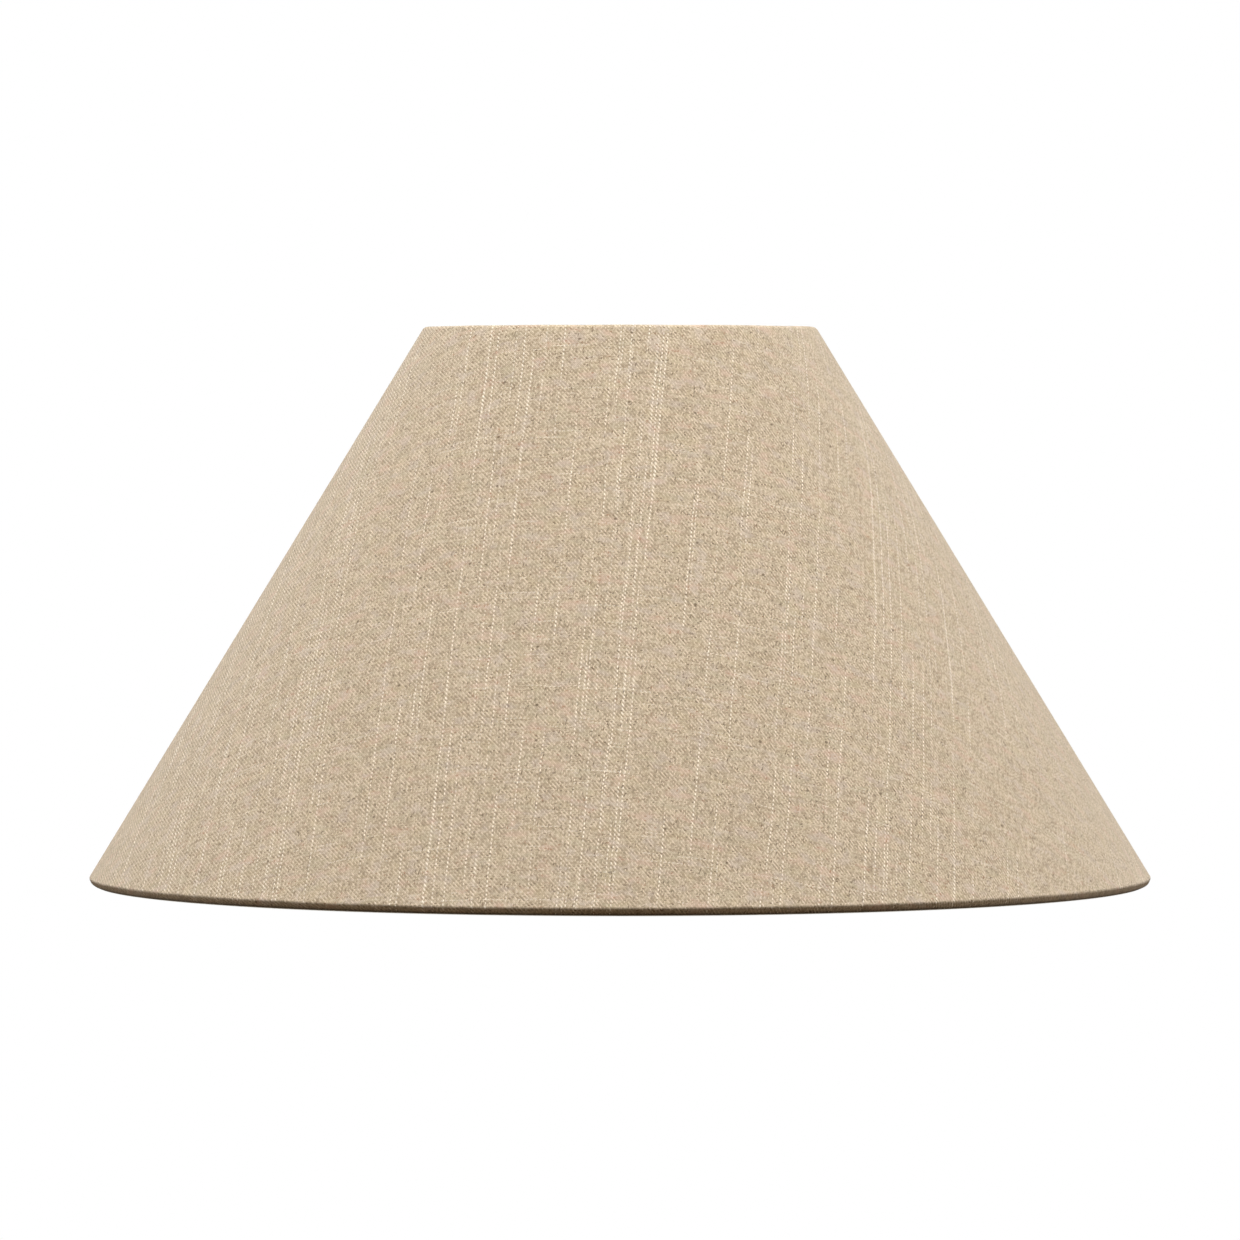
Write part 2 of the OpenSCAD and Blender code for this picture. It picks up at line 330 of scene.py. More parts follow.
def buildTwill():
    group, entry, leave = newGroup(
        "linenTwill",
        [("Place", "NodeSocketVector", None), ("Warp pitch", "NodeSocketFloat", 0.4),
         ("Weft pitch", "NodeSocketFloat", 0.4), ("Slub share", "NodeSocketFloat", 0.2),
         ("Fleck share", "NodeSocketFloat", 0.01)],
        [("Colour", "NodeSocketColor"), ("Height", "NodeSocketFloat")])
    t = group
    toMm = t.nodes.new("ShaderNodeVectorMath")
    toMm.operation = "SCALE"
    t.links.new(entry.outputs["Place"], toMm.inputs[0])
    toMm.inputs["Scale"].default_value = 1000
    flat = toMm.outputs[0]
    split = t.nodes.new("ShaderNodeSeparateXYZ")
    t.links.new(flat, split.inputs[0])

    # threads wander a little, so that no row is ruler straight
    sway = noiseAt(t, flat, 0.03, 2)
    jitter = noiseAt(t, flat, 0.35, 1)
    u = calc(t, "ADD", split.outputs[0], calc(t, "MULTIPLY_ADD", sway, 1.4, -0.7))
    u = calc(t, "MULTIPLY_ADD", jitter, 0.16, u)
    v = calc(t, "ADD", split.outputs[1], calc(t, "MULTIPLY_ADD", sway, -1.8, 0.9))
    v = calc(t, "MULTIPLY_ADD", jitter, -0.2, v)

    column = calc(t, "DIVIDE", u, entry.outputs["Warp pitch"])
    row = calc(t, "DIVIDE", v, entry.outputs["Weft pitch"])
    warpNo = calc(t, "FLOOR", column)
    weftNo = calc(t, "FLOOR", row)
    across = calc(t, "FRACT", column)
    along = calc(t, "FRACT", row)

    # two over, two under, stepping one thread a row: lines that fall to the right
    step = calc(t, "ADD", warpNo, weftNo)
    phase = calc(t, "FLOORED_MODULO", step, 4.0)
    cycle = calc(t, "FLOOR", calc(t, "DIVIDE", step, 4.0))
    warpUp = calc(t, "LESS_THAN", phase, 1.5)

    def arch(position):
        twice = calc(t, "MULTIPLY_ADD", position, 2.0, -1.0)
        return calc(t, "SUBTRACT", 1.0, calc(t, "MULTIPLY", twice, twice))

    def thread(crossPlace, floatPlace, low):
        crown = calc(t, "SQRT", arch(crossPlace))
        bulge = calc(t, "MULTIPLY_ADD", arch(floatPlace), 1.0 - low, low)
        return calc(t, "MULTIPLY", crown, bulge)

    warpFloat = calc(t, "DIVIDE", calc(t, "ADD", phase, along), 2.0)
    weftFloat = calc(t, "DIVIDE", calc(t, "SUBTRACT", calc(t, "ADD", phase, across), 2.0), 2.0)
    warpHeight = thread(across, warpFloat, 0.4)
    weftHeight = calc(t, "MULTIPLY", thread(along, weftFloat, 0.35), 0.85)

    # yarn tone runs along each thread, and each float differs a little
    alongWarp = joinXY(t, calc(t, "MULTIPLY", warpNo, 3.17), calc(t, "MULTIPLY", v, 0.2))
    alongWeft = joinXY(t, calc(t, "MULTIPLY", u, 0.13), calc(t, "MULTIPLY", weftNo, 3.71))
    warpTone = noiseAt(t, alongWarp, 1.0, 2)
    weftTone = noiseAt(t, alongWeft, 1.0, 2)
    threadNo = blendValue(t, warpUp, calc(t, "ADD", weftNo, 4000.0), warpNo)
    floatRandom = randomAt(t, joinXY(t, threadNo, cycle))
    tone = blendValue(t, warpUp, weftTone, warpTone)
    uneven = calc(t, "MULTIPLY_ADD", floatRandom, cloth["unevenFloats"], -cloth["unevenFloats"]/2)
    tone = calc(t, "ADD", ramp(t, tone, 0.3, 0.7), uneven)
    knots = noiseAt(t, flat, cloth["knotsPerMm"], 1)
    knots = calc(t, "MULTIPLY_ADD", knots, cloth["knots"], -cloth["knots"]/2)
    tone = calc(t, "ADD", tone, knots, clamp=True)
    warpColour = blendColour(t, tone, cloth["warpDark"], cloth["warpPale"])
    weftColour = blendColour(t, tone, cloth["weftDark"], cloth["weftPale"])

    # cream slubs: here and there one warp thread, in long runs that show as a row of beads
    chosen = calc(t, "LESS_THAN", randomAt(t, joinXY(t, warpNo, 5.0)), entry.outputs["Slub share"])
    runs = noiseAt(t, joinXY(t, calc(t, "MULTIPLY", warpNo, 5.3), calc(t, "MULTIPLY", v, 0.016)), 1.0, 3)
    slub = calc(t, "MULTIPLY", calc(t, "MULTIPLY", chosen, warpUp), ramp(t, runs, 0.40, 0.60))
    slub = calc(t, "MULTIPLY", slub, calc(t, "MULTIPLY_ADD", floatRandom, 0.35, 0.65))
    warpColour = blendColour(t, slub, warpColour, cloth["slub"])
    # and fine pale weft threads, in short runs
    chosenWeft = calc(t, "LESS_THAN", randomAt(t, joinXY(t, weftNo, 23.0)), cloth["weftSlubShare"])
    weftRuns = noiseAt(t, joinXY(t, calc(t, "MULTIPLY", u, 0.09), calc(t, "MULTIPLY", weftNo, 4.7)), 1.0, 1)
    weftSlub = calc(t, "MULTIPLY", chosenWeft, ramp(t, weftRuns, 0.58, 0.66))
    weftSlub = calc(t, "MULTIPLY", weftSlub, cloth["weftSlubs"])
    weftColour = blendColour(t, weftSlub, weftColour, cloth["slub"])

    colour = blendColour(t, warpUp, weftColour, warpColour)
    # soft patches where fibre of one tint gathers, drawn out along the weft
    drawn = joinXY(t, calc(t, "MULTIPLY", u, 0.09), calc(t, "MULTIPLY", v, 0.21))
    warm = noiseAt(t, drawn, 1.0, 3)
    cool = noiseAt(t, joinXY(t, calc(t, "MULTIPLY_ADD", u, 0.13, 80.0), calc(t, "MULTIPLY", v, 0.2)), 1.0, 3)
    for patches, low, high, strength, tint in (
            (warm, 0.58, 0.74, 0.5, "pink"), (warm, 0.44, 0.28, 0.3, "khaki"),
            (cool, 0.55, 0.72, 0.4, "lilac"), (cool, 0.44, 0.28, 0.22, "ochre")):
        share = ramp(t, patches, low, high)
        colour = blendColour(t, calc(t, "MULTIPLY", share, strength), colour, cloth[tint])
    fleckRandom = randomAt(t, joinXY(t, calc(t, "ADD", threadNo, 900.0), cycle))
    fleck = calc(t, "DIVIDE", calc(t, "SUBTRACT", entry.outputs["Fleck share"], fleckRandom),
        entry.outputs["Fleck share"])
    fleck = calc(t, "MULTIPLY", calc(t, "MAXIMUM", fleck, 0.0), cloth["flecks"])
    fleckColour = blendColour(t, ramp(t, warm, 0.5, 0.64), cloth["fleck"], cloth["rust"])
    colour = blendColour(t, fleck, colour, fleckColour)

    # a few brown neps, bits of husk caught in the yarn
    neps = t.nodes.new("ShaderNodeTexVoronoi")
    neps.voronoi_dimensions = "2D"
    neps.inputs["Scale"].default_value = 1/cloth["nepEvery"]
    t.links.new(joinXY(t, u, v), neps.inputs["Vector"])
    kept = t.nodes.new("ShaderNodeSeparateColor")
    t.links.new(neps.outputs["Color"], kept.inputs[0])
    edge = cloth["nepSize"]/cloth["nepEvery"]
    nep = calc(t, "MULTIPLY", ramp(t, neps.outputs["Distance"], edge, edge*0.4),
        calc(t, "GREATER_THAN", kept.outputs[0], cloth["nepsFrom"]))
    colour = blendColour(t, calc(t, "MULTIPLY", nep, cloth["neps"]), colour, cloth["fleck"])

    height = blendValue(t, warpUp, weftHeight, warpHeight)
    height = calc(t, "MULTIPLY_ADD", slub, 0.25, height)
    # painted shade: the cloth's colour is darkened where the thread height is low, in the pores between
    # threads and floats
    paintedShadeInPores = calc(t, "MULTIPLY_ADD", height, 0.5, 0.6, clamp=True)
    paintedPoreShadeGrey = t.nodes.new("ShaderNodeCombineColor")
    for channel in range(3):
        t.links.new(paintedShadeInPores, paintedPoreShadeGrey.inputs[channel])
    colour = blendColour(t, 1.0, colour, paintedPoreShadeGrey.outputs[0], "MULTIPLY")
    t.links.new(colour, leave.inputs["Colour"])
    t.links.new(height, leave.inputs["Height"])
    return group


def makeLinen():
    material, tree, shader = newMaterial("linen")
    place = tree.nodes.new("ShaderNodeUVMap")
    place.uv_map = "flatPattern"
    twill = useGroup(tree, buildTwill(), Place=place.outputs[0], Warp_pitch=cloth["warpPitch"],
        Weft_pitch=cloth["weftPitch"], Slub_share=cloth["slubShare"],
        Fleck_share=cloth["fleckShare"])
    tree.links.new(twill.outputs["Colour"], shader.inputs["Base Color"])
    addBump(tree, shader, twill.outputs["Height"], cloth["bumpDepth"], cloth["bump"])
    shader.inputs["Roughness"].default_value = cloth["roughness"]
    shader.inputs["Specular IOR Level"].default_value = cloth["specular"]
    shader.inputs["Sheen Weight"].default_value = cloth["sheen"]
    shader.inputs["Sheen Roughness"].default_value = cloth["sheenRoughness"]
    shader.inputs["Sheen Tint"].default_value = cloth["sheenTint"]
    return material


linen = makeLinen()
print("linen material made")


# finishes of the lining, wires and fitter: clean and dull patches, and a fine grain

finishes = {
    "lining": {        # calendered sheet, a little warm where the cloth shows through
        "clean": (0.80, 0.78, 0.73, 1), "dull": (0.74, 0.71, 0.64, 1), "patchScale": 14,
        "smooth": 0.38, "rough": 0.52, "grainScale": 1800, "grainDepth": 0.02*mm, "metallic": 0,
    },
    "whiteCoating": {  # epoxy over wire, with orange peel and dust-dulled patches
        "clean": (0.70, 0.70, 0.68, 1), "dull": (0.62, 0.61, 0.57, 1), "patchScale": 60,
        "smooth": 0.24, "rough": 0.5, "grainScale": 900, "grainDepth": 0.04*mm, "metallic": 0,
    },
    "zincPlate": {     # bright plating with a yellowish bloom
        "clean": (0.60, 0.60, 0.60, 1), "dull": (0.72, 0.70, 0.64, 1), "patchScale": 700,
        "smooth": 0.25, "rough": 0.45, "grainScale": 1500, "grainDepth": 0.02*mm, "metallic": 1,
    },
    "nylon": {
        "clean": (0.66, 0.64, 0.57, 1), "dull": (0.58, 0.56, 0.49, 1), "patchScale": 90,
        "smooth": 0.36, "rough": 0.5, "grainScale": 2500, "grainDepth": 0.02*mm, "metallic": 0,
    },
    "moulding": {      # spark texture from the mould, cloudy flow marks
        "clean": (0.70, 0.695, 0.67, 1), "dull": (0.64, 0.63, 0.60, 1), "patchScale": 90,
        "smooth": 0.34, "rough": 0.48, "grainScale": 2500, "grainDepth": 0.03*mm, "metallic": 0,
    },
    "tape": {
        "clean": (0.72, 0.69, 0.60, 1), "dull": (0.64, 0.60, 0.50, 1), "patchScale": 90,
        "smooth": 0.29, "rough": 0.43, "grainScale": 2500, "grainDepth": 0.02*mm, "metallic": 0,
    },
}


def buildFinishGrain():
    group, entry, leave = newGroup(
        "finishGrain",
        [("Place", "NodeSocketVector", None), ("Clean", "NodeSocketColor", None),
         ("Dull", "NodeSocketColor", None), ("Smooth", "NodeSocketFloat", 0.3),
         ("Rough", "NodeSocketFloat", 0.5),
         ("Patch scale", "NodeSocketFloat", 60.0), ("Grain scale", "NodeSocketFloat", 900.0)],
        [("Colour", "NodeSocketColor"), ("Roughness", "NodeSocketFloat"), ("Height", "NodeSocketFloat")])
    patch = noiseAt(group, entry.outputs["Place"], entry.outputs["Patch scale"], 3, "3D")
    grain = noiseAt(group, entry.outputs["Place"], entry.outputs["Grain scale"], 2, "3D")
    dull = ramp(group, patch, 0.32, 0.72)
    worn = calc(group, "MULTIPLY_ADD", grain, 0.25, calc(group, "MULTIPLY", dull, 0.75))
    colour = blendColour(group, dull, entry.outputs["Clean"], entry.outputs["Dull"])
    roughness = blendValue(group, worn, entry.outputs["Smooth"], entry.outputs["Rough"])
    feed(group, leave.inputs["Colour"], colour)
    feed(group, leave.inputs["Roughness"], roughness)
    feed(group, leave.inputs["Height"], grain)
    return group


finishGrain = buildFinishGrain()


def makeFinish(name):
    finish = finishes[name]
    material, tree, shader = newMaterial(name)
    place = tree.nodes.new("ShaderNodeTexCoord").outputs["Object"]
    grain = useGroup(tree, finishGrain, Place=place, Clean=finish["clean"], Dull=finish["dull"],
        Smooth=finish["smooth"], Rough=finish["rough"], Patch_scale=finish["patchScale"],
        Grain_scale=finish["grainScale"])
    tree.links.new(grain.outputs["Colour"], shader.inputs["Base Color"])
    tree.links.new(grain.outputs["Roughness"], shader.inputs["Roughness"])
    shader.inputs["Metallic"].default_value = finish["metallic"]
    addBump(tree, shader, grain.outputs["Height"], finish["grainDepth"], 0.4)
    return material


lining = makeFinish("lining")
coating = makeFinish("whiteCoating")
zinc = makeFinish("zincPlate")
nylon = makeFinish("nylon")
moulding = makeFinish("moulding")
tape = makeFinish("tape")
print("finishes made")


# the lining: one stiff sheet rolled up inside the cover, its ends almost touching

liner = {
    "thick": 0.35*mm,
    "jointFrom": 6.0*mm,      # the open joint, off the back's centre line
    "jointTo": 6.8*mm,
    "wireClear": 1.2*mm,      # the sheet stops this far from each wire's centre
    "columns": 240,
    "rows": 16,
}


def makeLiner():
    deselectAll()
    across, along = liner["columns"], liner["rows"]
    bpy.ops.mesh.primitive_grid_add(x_subdivisions=across, y_subdivisions=along, size=2)
    obj = bpy.context.object
    obj.name = "stiff_lining"
    low, high = liner["wireClear"], shade["wallLen"] - liner["wireClear"]
    for vertex in obj.data.vertices:
        share, up = (vertex.co.x + 1)/2, low + (high - low)*(vertex.co.y + 1)/2
        radius, height = wallPoint(shade["wireR"], up)
        turned = (1 - share)*(-liner["jointFrom"]/radius) + share*(2*math.pi - liner["jointTo"]/radius)
        vertex.co = Vector((radius*math.sin(turned), radius*math.cos(turned), height))
    pick(obj)
    bpy.ops.object.mode_set(mode="EDIT")
    bpy.ops.mesh.select_all(action="SELECT")
    bpy.ops.mesh.flip_normals()
    bpy.ops.object.mode_set(mode="OBJECT")
    sheet = obj.modifiers.new("sheetThickness", "SOLIDIFY")
    sheet.thickness = liner["thick"]
    sheet.offset = -1
    applyModifiers(obj)
    return finishPiece(obj, "shade", lining, "liner_sheet")


makeLiner()


# the cover: one flat piece of cloth, rolled up and rolled over the wires

cover = {
    "rollTurn": 300,          # degrees the margin wraps round a wire
    "rollRows": 26,
    "crease": 1.35*mm,        # how far past the lower wire's centre the cloth turns sharply
    "creaseSoft": 0.17*mm,
    "wallRows": 30,
    "lapHalf": 6*mm,          # the lap reaches this far each side of the back's centre line
    "climb": 4*mm,            # where the outer end rises over the inner one
    "foldUnder": 6*mm,        # cloth turned under along the lap's free edge
    "lapEnd": 6*mm,           # the turned edge stops this far from each roll
    "tape": 0.15*mm,
    "foldGap": 1.0*mm,        # from the lap's face to the face of the cloth turned under it
    "rimLift": 0.55*mm,       # rise of the lap where it goes round the wires
    "lump": 0.14*mm,          # unevenness of hand-rolled rims
    "lumpsPerMetre": 60,
    "pressed": 0.35,          # share of it left where the lower rim stands on the table
    "notchFrom": 92,          # the lugs' notches, in degrees round the top roll
    "notchTo": 215,
    "notchHalf": 5,           # degrees each side of a lug
}


def profileRows():
    # each row: out from the wall's line, up it, roll angle, end (-1 bottom, 1 top), cloth length
    rollR, wall = shade["rollR"], shade["wallLen"]
    turn = math.radians(cover["rollTurn"])
    corner = math.atan(cover["crease"]/rollR)
    rows = []
    for share in (0.4, 0.75, 0.93, 1.0, 1.07, 1.25, 1.6, 2.0):
        angle = corner*share
        tangent = rollR/math.cos(corner*min(share, 2 - share))
        out = min(tangent, rollR/math.cos(corner) - cover["creaseSoft"])
        rows.insert(0, (out*math.cos(angle), -out*math.sin(angle), angle, -1, -rollR*angle))
    for i in range(1, cover["rollRows"] + 1):
        angle = 2*corner + (turn - 2*corner)*i/cover["rollRows"]
        rows.insert(0, (rollR*math.cos(angle), -rollR*math.sin(angle), angle, -1, -rollR*angle))
    for i in range(cover["wallRows"] + 1):
        up = wall*i/cover["wallRows"]
        rows.append((rollR, up, 0.0, 0, up))
    for i in range(1, cover["rollRows"] + 1):
        angle = turn*i/cover["rollRows"]
        rows.append((rollR*math.cos(angle), wall + rollR*math.sin(angle), angle, 1, wall + rollR*angle))
    return rows


def sheetColumns():
    # each column: angle from the back, distance past it, cloth past it, height share, part of the sheet
    half, climb = cover["lapHalf"], cover["climb"]
    columns = []
    for i in range(8):
        past = -half + 2*mm*i
        columns.append((0.0, past, past, 0.0, "inner"))
    for degree in range(8, 353):
        columns.append((math.radians(degree), 0.0, 0.0, 0.0, "round"))
    for i in range(6):
        past = -half - climb + climb*i/5
        columns.append((2*math.pi, past, past, smoothStep(0, 1, i/5), "climb"))
    bend = cover["foldGap"]/2
    for i in range(1, 7):
        past = -half + (2*half - bend)*i/6
        columns.append((2*math.pi, past, past, 1.0, "lap"))
    reached = half - bend
    for i in range(1, 7):
        angle = math.pi*i/6
        columns.append((2*math.pi, half - bend + bend*math.sin(angle), reached + bend*angle,
            (1 + math.cos(angle))/2, "fold"))
    reached += bend*math.pi
    for i in range(1, 5):
        back = cover["foldUnder"]*i/4
        columns.append((2*math.pi, half - bend - back, reached + back, 0.0, "under"))
    return columns


def lapHeight(row, share, part):
    # the lap lies two cloths high on the wall and one high where it goes round a wire
    if part in ("inner", "round"):
        return 0.0
    across, up, angle, end, length = row
    fromEnd = min(length, shade["wallLen"] - length)
    onWall = smoothStep(0.0, cover["lapEnd"], fromEnd)
    low = cover["tape"]
    high = low + cover["foldGap"]
    rim = cover["rimLift"]*(1 - 0.5*smoothStep(1.2, 2.4, angle))
    if part == "climb":
        return share*(rim + (high - rim)*onWall)
    return low + share*((rim + (high - rim)*onWall) - low)


def flatPlace(row, angle, past):
    # where a point of the rolled sheet lies on the cutting table, along the cloth's own threads
    slope = shade["slope"]
    bottomR = shade["bottomWireR"] + shade["rollR"]*math.cos(slope)
    reach = bottomR/math.sin(slope) - row[4]
    turn = (math.pi - angle)*math.sin(slope) - past/reach
    x, y = reach*math.sin(turn), -reach*math.cos(turn)
    lean = math.radians(cloth["grainLean"])
    return (x*math.cos(lean) - y*math.sin(lean), x*math.sin(lean) + y*math.cos(lean))


def placeOnShade(row, column):
    across, up, roll, end, length = row
    angle, past, clothPast, share, part = column
    radius, height = wallPoint(across, up)
    turned = angle + past/radius
    lift = lapHeight(row, share, part)
    if end:
        spread = radius*cover["lumpsPerMetre"]
        where = Vector((math.sin(turned)*spread, math.cos(turned)*spread, roll*0.8))
        lift += cover["lump"]*max(0.0, noise.noise(where) + 0.35)*smoothStep(0.0, 0.6, roll)
    if end == -1:
        lift *= 1 - (1 - cover["pressed"])*smoothStep(0.8, 0.98, math.sin(roll - shade["slope"]))
    normal = (math.cos(roll), (end or 1)*math.sin(roll))
    radius, height = wallPoint(across + lift*normal[0], up + lift*normal[1])
    return Vector((radius*math.sin(turned), radius*math.cos(turned), height))


def cutAway(row, nextRow, column, nextColumn):
    # notches for the lugs in the top roll, and the turned edge trimmed off at the rims
    if nextColumn[4] in ("fold", "under"):
        shortest = min(row[4], shade["wallLen"] - nextRow[4])
        return shortest < cover["lapEnd"]
    if row[3] == 1 and cover["notchFrom"] <= math.degrees(row[2]) <= cover["notchTo"]:
        middle = math.degrees(column[0] + nextColumn[0])/2
        return min(abs(middle - 90), abs(middle - 270)) < cover["notchHalf"]
    return False


def makeCover():
    rows, columns = profileRows(), sheetColumns()
    deselectAll()
    bpy.ops.mesh.primitive_grid_add(x_subdivisions=len(columns) - 1, y_subdivisions=len(rows) - 1, size=2)
    obj = bpy.context.object
    obj.name = "woven_cover"
    mesh = obj.data
    places, flats = [], []
    for vertex in mesh.vertices:
        j = round((vertex.co.x + 1)/2*(len(columns) - 1))
        i = round((vertex.co.y + 1)/2*(len(rows) - 1))
        places.append((i, j))
        flats.append(flatPlace(rows[i], columns[j][0], columns[j][2]))
    for vertex, (i, j) in zip(mesh.vertices, places):
        vertex.co = placeOnShade(rows[i], columns[j])
    layer = mesh.uv_layers[0] if mesh.uv_layers else mesh.uv_layers.new()
    layer.name = "flatPattern"
    for loop in mesh.loops:
        layer.data[loop.index].uv = flats[loop.vertex_index]
    bpy.ops.object.mode_set(mode="EDIT")
    bpy.ops.mesh.select_all(action="DESELECT")
    bpy.ops.mesh.select_mode(type="FACE")
    bpy.ops.object.mode_set(mode="OBJECT")
    flatArea = 0.0
    for face in mesh.polygons:
        corners = [flats[v] for v in face.vertices]
        edges = zip(corners, corners[1:] + corners[:1])
        flatArea += abs(sum(p[0]*q[1] - q[0]*p[1] for p, q in edges))/2
        i = min(places[v][0] for v in face.vertices)
        j = min(places[v][1] for v in face.vertices)
        face.select = cutAway(rows[i], rows[i + 1], columns[j], columns[j + 1])
    bpy.ops.object.mode_set(mode="EDIT")
    bpy.ops.mesh.delete(type="FACE")
    bpy.ops.mesh.select_all(action="SELECT")
    bpy.ops.mesh.flip_normals()
    bpy.ops.object.mode_set(mode="OBJECT")
    wall = obj.modifiers.new("clothThickness", "SOLIDIFY")
    wall.thickness = cloth["thickness"] - 0.02*mm
    wall.offset = -1
    applyModifiers(obj)
    bpy.ops.object.shade_smooth_by_angle(angle=math.radians(50))
    setMaterial(obj, linen)
    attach(obj, "shade")
    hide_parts("cover_fabric")
    return obj


makeCover()


# the pressed ring: a shallow cup with a rounded corner and a hole

fitter = {
    "thick": 1.2*mm,
    "holeR": 20.3*mm,
    "corner": 1.8*mm,
    "innerCorner": 0.6*mm,
    "edge": 0.25*mm,
    "sides": 128,
}


def makeFitterRing():
    low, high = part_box("fitter_ring")
    outR, thick, top = high.x, fitter["thick"], high.z
    deselectAll()
    bpy.ops.mesh.primitive_cylinder_add(vertices=fitter["sides"], radius=outR, depth=top - low.z,
        location=(0, 0, (top + low.z)/2))
    ring = bpy.context.object
    ring.name = "pressed_ring"
    fixPlace(ring)
    selectParts(ring, "FACE", lambda place, normal: normal.z < -0.9)
    bpy.ops.mesh.inset(thickness=thick)
    bpy.ops.mesh.extrude_region_move(TRANSFORM_OT_translate={"value": (0, 0, top - low.z - thick)})
    bpy.ops.mesh.inset(thickness=outR - thick - fitter["holeR"])
    selectParts(ring, "FACE", lambda place, normal: normal.z > 0.9 and near(place.z, top))
    bpy.ops.mesh.inset(thickness=outR - fitter["holeR"])
    selectParts(ring, "FACE", lambda place, normal: abs(normal.z) > 0.9 and outFromAxis(place) < mm)
    bpy.ops.mesh.bridge_edge_loops()

    def rimAt(radius, height):
        return lambda place, way: near(outFromAxis(place), radius) and near(place.z, height)

    for radius, height, width, steps in ((outR, top, fitter["corner"], 8),
            (outR - thick, top - thick, fitter["innerCorner"], 4), (outR, low.z, fitter["edge"], 2),
            (outR - thick, low.z, fitter["edge"], 2), (fitter["holeR"], top, fitter["edge"], 2),
            (fitter["holeR"], top - thick, fitter["edge"], 2)):
        selectParts(ring, "EDGE", rimAt(radius, height))
        bpy.ops.mesh.bevel(offset=width, segments=steps)
    return finishPiece(ring, "gimbal", coating, "fitter_ring")


# the reducer: a flange with a tube and a ring of snap legs below it

reducer = {
    "boreR": 14.5*mm,
    "wall": 1.6*mm,
    "flange": 1.8*mm,
    "flangeCorner": 1.0*mm,
    "legR": 20.0*mm,
    "legThick": 1.4*mm,
    "legs": 8,
    "slot": 2.4*mm,
    "lip": 0.2*mm,
    "lipTop": 1.6*mm,         # below the flange
    "edge": 0.2*mm,
    "sides": 96,
}


def inSlot(place):
    spacing = 2*math.pi/reducer["legs"]
    fromSlot = math.atan2(place.y, place.x)%spacing - spacing/2
    return abs(outFromAxis(place)*math.sin(fromSlot)) < reducer["slot"]/2


def makeReducer():
    low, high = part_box("reducer_ring")
    flangeR, seat = high.x, high.z - reducer["flange"]
    deselectAll()
    bpy.ops.mesh.primitive_cylinder_add(vertices=reducer["sides"], radius=flangeR, depth=reducer["flange"],
        location=(0, 0, seat + reducer["flange"]/2))
    piece = bpy.context.object
    piece.name = "reducer"
    fixPlace(piece)
    legIn, tubeR = reducer["legR"] - reducer["legThick"], reducer["boreR"] + reducer["wall"]
    selectParts(piece, "FACE", lambda place, normal: normal.z < -0.9)
    for radius, smaller in ((flangeR, reducer["legR"]), (reducer["legR"], legIn), (legIn, tubeR),
            (tubeR, reducer["boreR"])):
        bpy.ops.mesh.inset(thickness=radius - smaller)
    selectParts(piece, "FACE", lambda place, normal: normal.z < -0.9
        and (legIn < outFromAxis(place) < reducer["legR"] and not inSlot(place)
        or reducer["boreR"] < outFromAxis(place) < tubeR))
    bpy.ops.mesh.extrude_region_move(TRANSFORM_OT_translate={"value": (0, 0, low.z - seat)})
    selectParts(piece, "FACE", lambda place, normal: normal.z > 0.9)
    bpy.ops.mesh.inset(thickness=flangeR - reducer["boreR"])
    selectParts(piece, "FACE", lambda place, normal: abs(normal.z) > 0.9 and outFromAxis(place) < mm)
    bpy.ops.mesh.bridge_edge_loops()
    # the lip round the feet of the legs
    for height in (seat - reducer["lipTop"], seat - reducer["lipTop"] - reducer["lip"]):
        bpy.ops.mesh.select_all(action="SELECT")
        bpy.ops.mesh.bisect(plane_co=(0, 0, height), plane_no=(0, 0, 1))
    lipFrom = seat - reducer["lipTop"] - reducer["lip"]/2
    selectParts(piece, "VERT", lambda place: place.z < lipFrom
        and outFromAxis(place) > reducer["legR"] - 0.1*mm)
    wider = 1 + reducer["lip"]/reducer["legR"]
    bpy.ops.transform.resize(value=(wider, wider, 1), center_override=(0, 0, 0))
    selectParts(piece, "EDGE", lambda place, way: near(outFromAxis(place), flangeR) and near(place.z, high.z))
    bpy.ops.mesh.bevel(offset=reducer["flangeCorner"], segments=6)
    bpy.ops.object.mode_set(mode="OBJECT")
    soft = piece.modifiers.new("softEdges", "BEVEL")
    soft.width = reducer["edge"]
    soft.segments = 2
    soft.limit_method = "ANGLE"
    soft.angle_limit = math.radians(50)
    applyModifiers(piece)
    return finishPiece(piece, "reducer", moulding, "reducer_ring")


# the two arms: coated wire, bent twice, its upper end hammered flat round the rivet

arm = {
    "wireR": 1.5*mm,
    "bendR": 6.5*mm,          # to the wire's middle
    "shank": 9*mm,            # from the pivot to the first bend's corner
    "start": 4*mm,
    "tailTop": 8*mm,
    "bite": 0.4*mm,
    "eyeR": 5*mm,
    "eyeThick": 1.8*mm,
    "holeR": 1.55*mm,
    "eyeEdge": 0.35*mm,
    "flatFrom": 4.2*mm,       # the hammered end fades out between these depths
    "flatTo": 9.5*mm,
    "squash": 0.46,
    "spread": 0.8,
    "bendSteps": 12,
}


